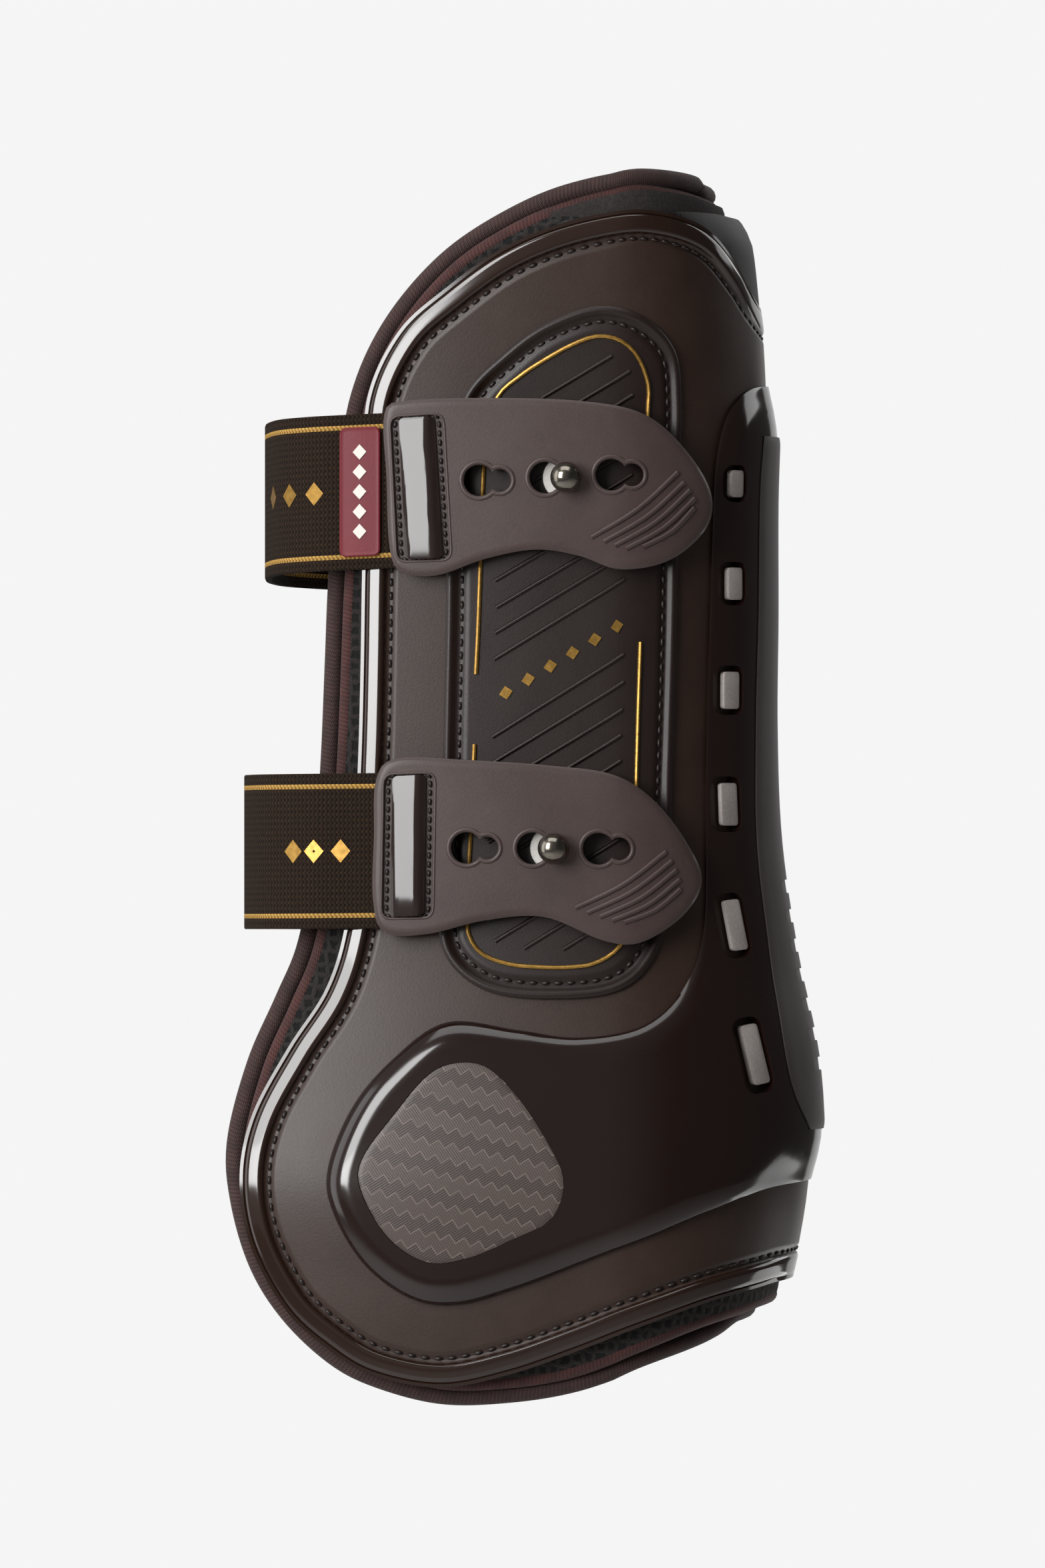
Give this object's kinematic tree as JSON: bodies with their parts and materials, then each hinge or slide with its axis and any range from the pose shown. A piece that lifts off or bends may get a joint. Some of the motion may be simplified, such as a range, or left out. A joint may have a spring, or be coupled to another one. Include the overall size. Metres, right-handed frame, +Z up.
{
  "type": "tendon boot",
  "caption": "Hard-shelled tendon boot for a horse's lower leg: padded, open at the front, with a raised guard at the back and elastic straps whose tabs hook over ball studs",
  "frame": {"origin": "on the axis of the leg, level with the lowest point of the binding", "axes": "+Z up the leg, -X to the open front, +X to the tendon at the back, -Y to the outer side that carries the studs"},
  "size_m": [0.1341, 0.1024, 0.2742],
  "materials": {
    "shell_tpu": "matte moulded skin, fine grain",
    "gloss_tpu": "high gloss",
    "satin_tpu": "satin",
    "woven_pad": "coarse twill under a satin coat",
    "gold": "satin gold print",
    "collar": "matte",
    "mesh": "open spacer mesh",
    "foam": "closed-cell foam",
    "lining": "smooth knit",
    "binding_red": "woven tape",
    "binding_dark": "woven tape",
    "stud": "polished dark nickel",
    "washer": "white moulded nylon",
    "elastic": "twill elastic",
    "label": "matte moulded",
    "tab_tpu": "satin, fine grain"
  },
  "bodies": {
    "boot": {"outer_shell": "shell_tpu", "tendon_guard": "gloss_tpu", "spine_strip": "satin_tpu", "near_vents": "satin_tpu", "far_vents": "satin_tpu", "near_fetlock_pad": "woven_pad", "far_fetlock_pad": "woven_pad", "stud_panel": "shell_tpu", "gold_trim": "gold", "top_collar": "collar", "spacer_mesh": "mesh", "impact_foam": "foam", "inner_lining": "lining", "mesh_binding": "binding_red", "lining_binding": "binding_dark", "upper_stud": "stud", "lower_stud": "stud", "upper_washer": "washer", "lower_washer": "washer", "upper_anchor": "elastic", "lower_anchor": "elastic"},
    "upper_strap": {"upper_elastic": "elastic", "upper_label": "label"},
    "upper_clasp": {"upper_tab": "tab_tpu", "upper_inlay": "gloss_tpu"},
    "lower_strap": {"lower_elastic": "elastic"},
    "lower_clasp": {"lower_tab": "tab_tpu", "lower_inlay": "gloss_tpu"}
  },
  "joints": [
    {"name": "upper_swing", "type": "hinge", "parent": "boot", "child": "upper_strap", "pos_m": [-0.05045, 0.03462, 0.2], "axis": [0, 0, -1], "range_deg": [0, 110]},
    {"name": "upper_pull", "type": "slide", "parent": "upper_strap", "child": "upper_clasp", "axis": [0.9895, -0.1445, 0], "range_m": [0, 0.0045], "stiffness_N_per_m": 600, "springref_m": -0.01},
    {"name": "lower_swing", "type": "hinge", "parent": "boot", "child": "lower_strap", "pos_m": [-0.05045, 0.03462, 0.122], "axis": [0, 0, -1], "range_deg": [0, 110]},
    {"name": "lower_pull", "type": "slide", "parent": "lower_strap", "child": "lower_clasp", "axis": [0.9895, -0.1445, 0], "range_m": [0, 0.0045], "stiffness_N_per_m": 600, "springref_m": -0.01}
  ]
}
